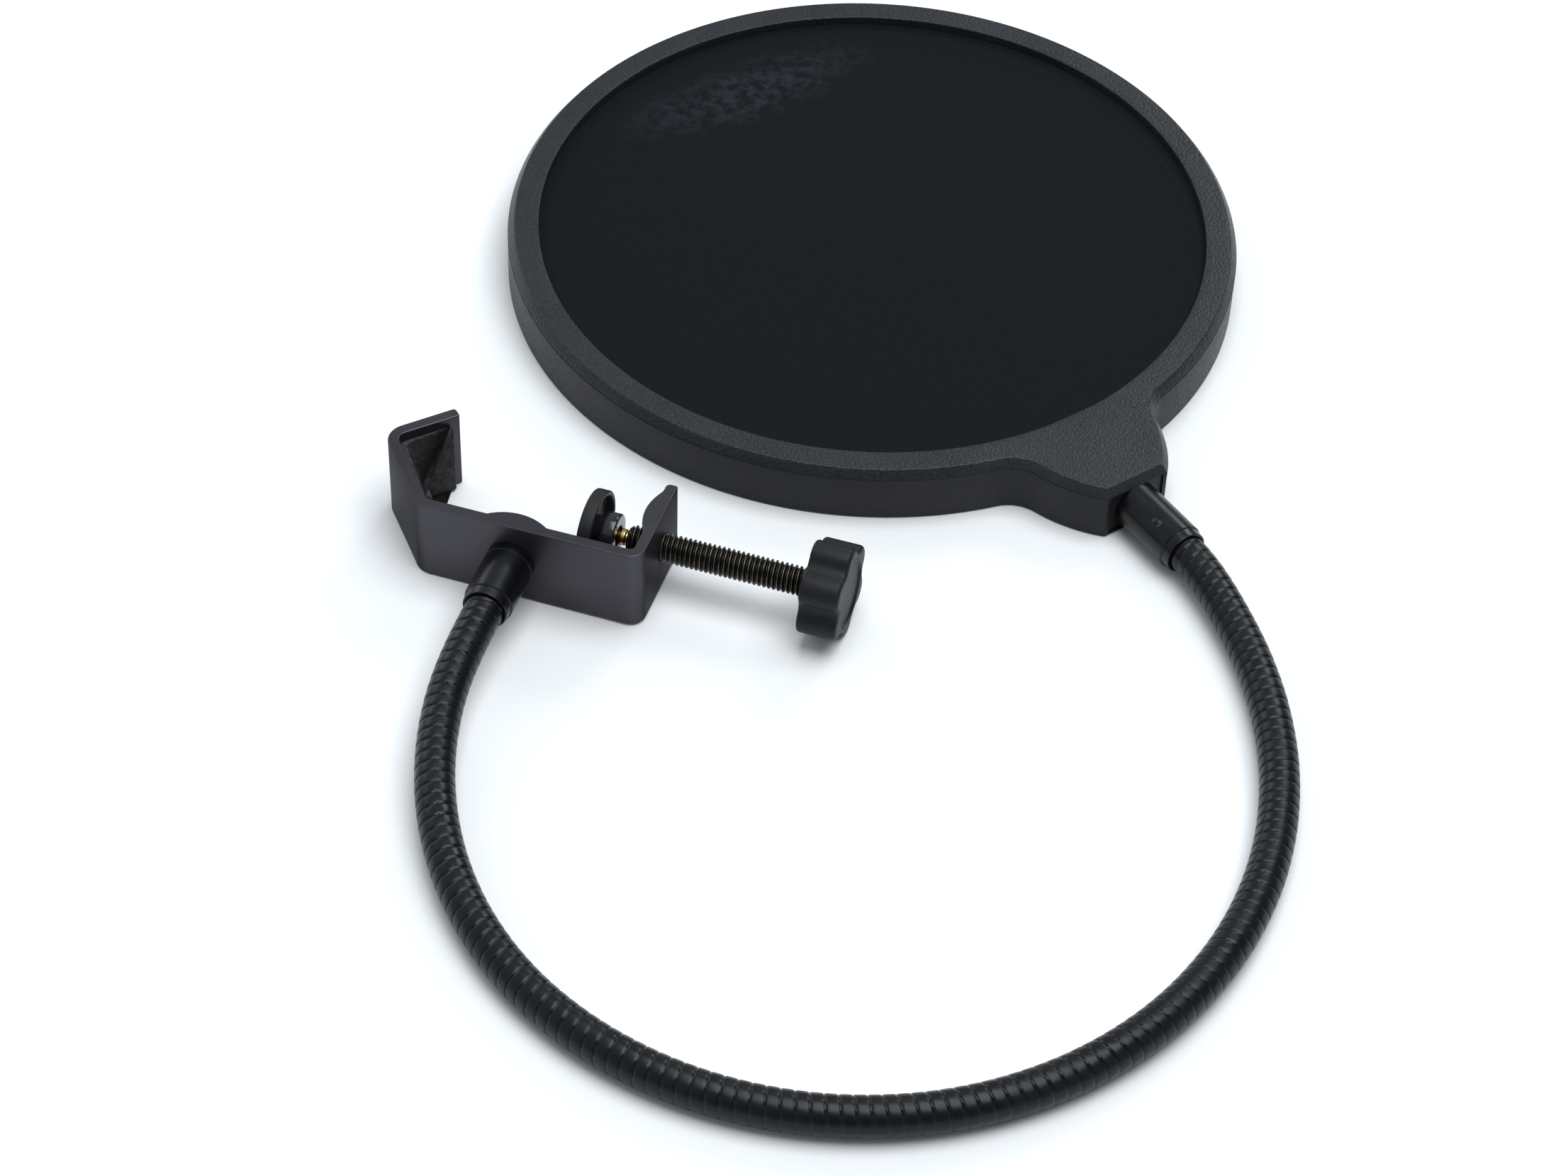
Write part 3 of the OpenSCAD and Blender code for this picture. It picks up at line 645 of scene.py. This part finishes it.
for z, d in zip(levels, draw):
    ring = inset(fine, d + 0.02)
    n = np.roll(ring, -1, 0) - np.roll(ring, 1, 0)
    n = np.stack([n[:, 1], -n[:, 0]], -1) / np.linalg.norm(n, axis=1)[:, None]
    ring = ring - n * rng.uniform(0, 0.07, len(ring))[:, None]
    rings.append(np.c_[ring, np.full(len(ring), z)])
pad = loft("jaw_pad_felt", rings, CLAMP, MAT["felt"], sharp=180)
place(pad, "clamp", "jaw_pad")

# ---------------------------------------------------------------- screw, knob and foot
z = np.arange(-7.3, KNOB_GAP + 0.4, 0.08)
t = np.linspace(0, 2 * math.pi, 64, endpoint=False)
phase = np.abs(2 * ((z[:, None] / THREAD_P - t[None] / (2 * math.pi)) % 1.0) - 1)
r = THREAD_R - 0.58 * np.clip((phase - 0.14) / 0.7, 0, 1)
r = np.minimum(r, THREAD_R - 0.75 + (z[:, None] + 7.3) * 1.1)
rings = np.stack([r * np.cos(t), r * np.sin(t), np.repeat(z[:, None], len(t), 1)], -1)
place(loft("screw_thread", rings, SCREW, MAT["thread"], sharp=70), "screw", "clamp_screw")

lobe_r, vale_r = 3.4, 3.0
lobe_at = KNOB_D / 2 - lobe_r
half = math.pi / LOBES
vale_at = lobe_at * math.cos(half) + math.sqrt((lobe_r + vale_r) ** 2 - (lobe_at * math.sin(half)) ** 2)
KT = np.linspace(0, 2 * math.pi, 300, endpoint=False)


def knob_outline(d):
    lobe, vale = np.array([lobe_at, 0]), vale_at * np.array([math.cos(half), math.sin(half)])
    meet = lobe + (vale - lobe) * (lobe_r - d) / (lobe_r + vale_r)
    turn = np.abs((KT - math.radians(52) + half) % (2 * half) - half)
    on_lobe = lobe_at * np.cos(turn) + np.sqrt(np.maximum((lobe_r - d) ** 2 - (lobe_at * np.sin(turn)) ** 2, 0))
    back = half - turn
    on_vale = vale_at * np.cos(back) - np.sqrt(np.maximum((vale_r + d) ** 2 - (vale_at * np.sin(back)) ** 2, 0))
    r = np.where(turn < math.atan2(meet[1], meet[0]), on_lobe, on_vale)
    return np.c_[r * np.cos(KT), r * np.sin(KT)]


def knob_ring(kind, v, z):
    xy = knob_outline(v) if kind == "o" else np.c_[v * np.cos(KT), v * np.sin(KT)]
    return np.c_[xy, np.full(len(KT), z + KNOB_GAP)]


wall = rounded([(1.6, 0), (0, 0), (0, KNOB_T), (1.6, KNOB_T)], [0, 0.7, 0.9, 0], 7, closed=False)
dish = rounded([(6.9, KNOB_T), (6.4, KNOB_T - 0.45), (0.2, KNOB_T - 0.45)], [0, 0.3, 0], 4, closed=False)
collar = ((3.1, -0.35), (4.2, -0.35), (4.4, -0.2), (4.45, 0.0))
rings = [knob_ring("c", rr, zz) for rr, zz in collar]
rings += [knob_ring("o", d, zz) for d, zz in wall]
rings += [knob_ring("c", 7.15, KNOB_T)] + [knob_ring("c", rr, zz) for rr, zz in dish]
place(loft("knob_looks", rings, SCREW, MAT["knob"]), "screw", "knob")

pin = rounded([(-14.0, 0), (-14.0, 1.2), (-9.0, 1.2), (-9.0, 1.7),
               (-8.0, 1.7), (-7.7, 1.4), (-7.4, 1.4), (-7.4, 0)],
              [0, 0.5, 0.05, 0.25, 0.1, 0.1, 0.05, 0], 4, closed=False)
place(lathe("swivel_neck", pin, SCREW, MAT["brass"], 64), "swivel", "swivel_pin")
collar = rounded([(-14.85, 0), (-14.85, 3.2), (-12.5, 3.2), (-12.5, 4.4),
                  (-9.5, 4.4), (-9.5, 2.1), (-10.5, 2.1), (-10.5, 0)],
                 [0, 0.3, 0.1, 0.35, 0.45, 0.15, 0.05, 0], 5, closed=False)
place(lathe("foot_collar_looks", collar, SCREW, MAT["collar"], 96), "foot", "foot_collar")
disc = rounded([(-15.88, 0), (-15.88, FOOT_R), (-13.1, FOOT_R), (-13.1, FOOT_R - 0.9),
                (-14.85, FOOT_R - 1.1), (-14.85, 0)],
               [0, 0.5, 0.3, 0.25, 0.35, 0], 5, closed=False)
place(lathe("foot_disc_looks", disc, SCREW, MAT["disc"], 128), "foot", "foot_disc")
sole = rounded([(-16.4, 0), (-16.4, FOOT_R - 2.6), (-15.9, FOOT_R - 2.6), (-15.9, 0)],
               [0, 0.2, 0.05, 0], 4, closed=False)
place(lathe("foot_pad_looks", sole, SCREW, MAT["rubber"], 96), "foot", "foot_pad")

# ---------------------------------------------------------------- CAD nodes shown as they are
for node, key in (("neck_screw", "zinc"), ("neck_washer", "steel"), ("tab_screws", "zinc"),
                  ("spacer_ring", "hidden"), ("front_mesh_hoop", "hidden"), ("rear_mesh_hoop", "hidden")):
    data = frame["nodes"][node].data
    data.materials.clear()
    data.materials.append(MAT[key])

# ---------------------------------------------------------------- stage
table = Mat("table_white", (0.86, 0.86, 0.865), 0.55)
table.bump(table.noise(30, 2.0), 0.02 * MM)
reach = 3000
corners = [(-reach, -reach, 0), (reach, -reach, 0), (reach, reach, 0), (-reach, reach, 0)]
floor = build("floor", corners, [[0, 1, 2, 3]], at(np.eye(4), 0, 0, -0.02), table.mat)

# a soft gradient, brightest towards the far left and dimmest opposite
BRIGHT_SIDE = (-0.88, 0.30, 0.36)
FADE_FROM, FADE_TO, DIM, BRIGHT = -0.3, 0.95, 0.16, 0.62
world = bpy.data.worlds.new("studio")
bpy.context.scene.world = world
bpy.context.scene.view_settings.view_transform = "Standard"
world.use_nodes = True
sky = world.node_tree
sky.nodes["Background"].inputs["Color"].default_value = (0.90, 0.96, 1.0, 1)
way = sky.nodes.new("ShaderNodeVectorMath")
way.operation = "DOT_PRODUCT"
way.inputs[1].default_value = BRIGHT_SIDE
sky.links.new(sky.nodes.new("ShaderNodeTexCoord").outputs["Generated"], way.inputs[0])
fade = sky.nodes.new("ShaderNodeMapRange")
fade.interpolation_type = "SMOOTHSTEP"
for i, v in enumerate((FADE_FROM, FADE_TO, DIM, BRIGHT)):
    fade.inputs[i + 1].default_value = v
sky.links.new(way.outputs["Value"], fade.inputs[0])
sky.links.new(fade.outputs[0], sky.nodes["Background"].inputs["Strength"])


def lamp(name, where, aim, size, power):
    data = bpy.data.lights.new(name, "AREA")
    data.shape, data.size, data.size_y, data.energy = "RECTANGLE", size[0], size[1], power
    data.color = (0.93, 0.97, 1.0)
    ob = bpy.data.objects.new(name, data)
    ob.location = where
    ob.rotation_mode = "QUATERNION"
    ob.rotation_quaternion = (Vector(aim) - Vector(where)).to_track_quat("-Z", "Y")
    bpy.context.scene.collection.objects.link(ob)


lamp("key", (0.28, -0.05, 1.40), (0, 0, 0), (1.2, 1.2), 21)
lamp("back_right", (0.75, 1.45, 1.15), (0.05, 0, 0), (0.7, 0.5), 7)
lamp("back_left", (-1.25, 1.35, 0.85), (-0.1, 0, 0), (1.2, 0.6), 5)
lamp("side", (1.3, -0.9, 0.7), (0, 0, 0), (1.2, 1.0), 1.2)

LENS, CAMERA_AT = 98.63, (-0.009635, -0.620317, 0.603965)
cam = bpy.data.cameras.new("camera")
cam.lens, cam.sensor_width, cam.clip_end = LENS, 36.0, 20
camera = bpy.data.objects.new("camera", cam)
bpy.context.scene.collection.objects.link(camera)
bpy.context.scene.camera = camera
pitch, roll = math.radians(45.127), math.radians(2.492)
ahead = Vector((0, math.cos(pitch), -math.sin(pitch)))
right = Vector((math.cos(roll), 0, 0)) + Vector((0, math.sin(pitch), math.cos(pitch))) * math.sin(roll)
above = right.cross(ahead)
turn = Matrix((right, above, -ahead)).transposed()
camera.matrix_world = Matrix.Translation(CAMERA_AT) @ turn.to_4x4()
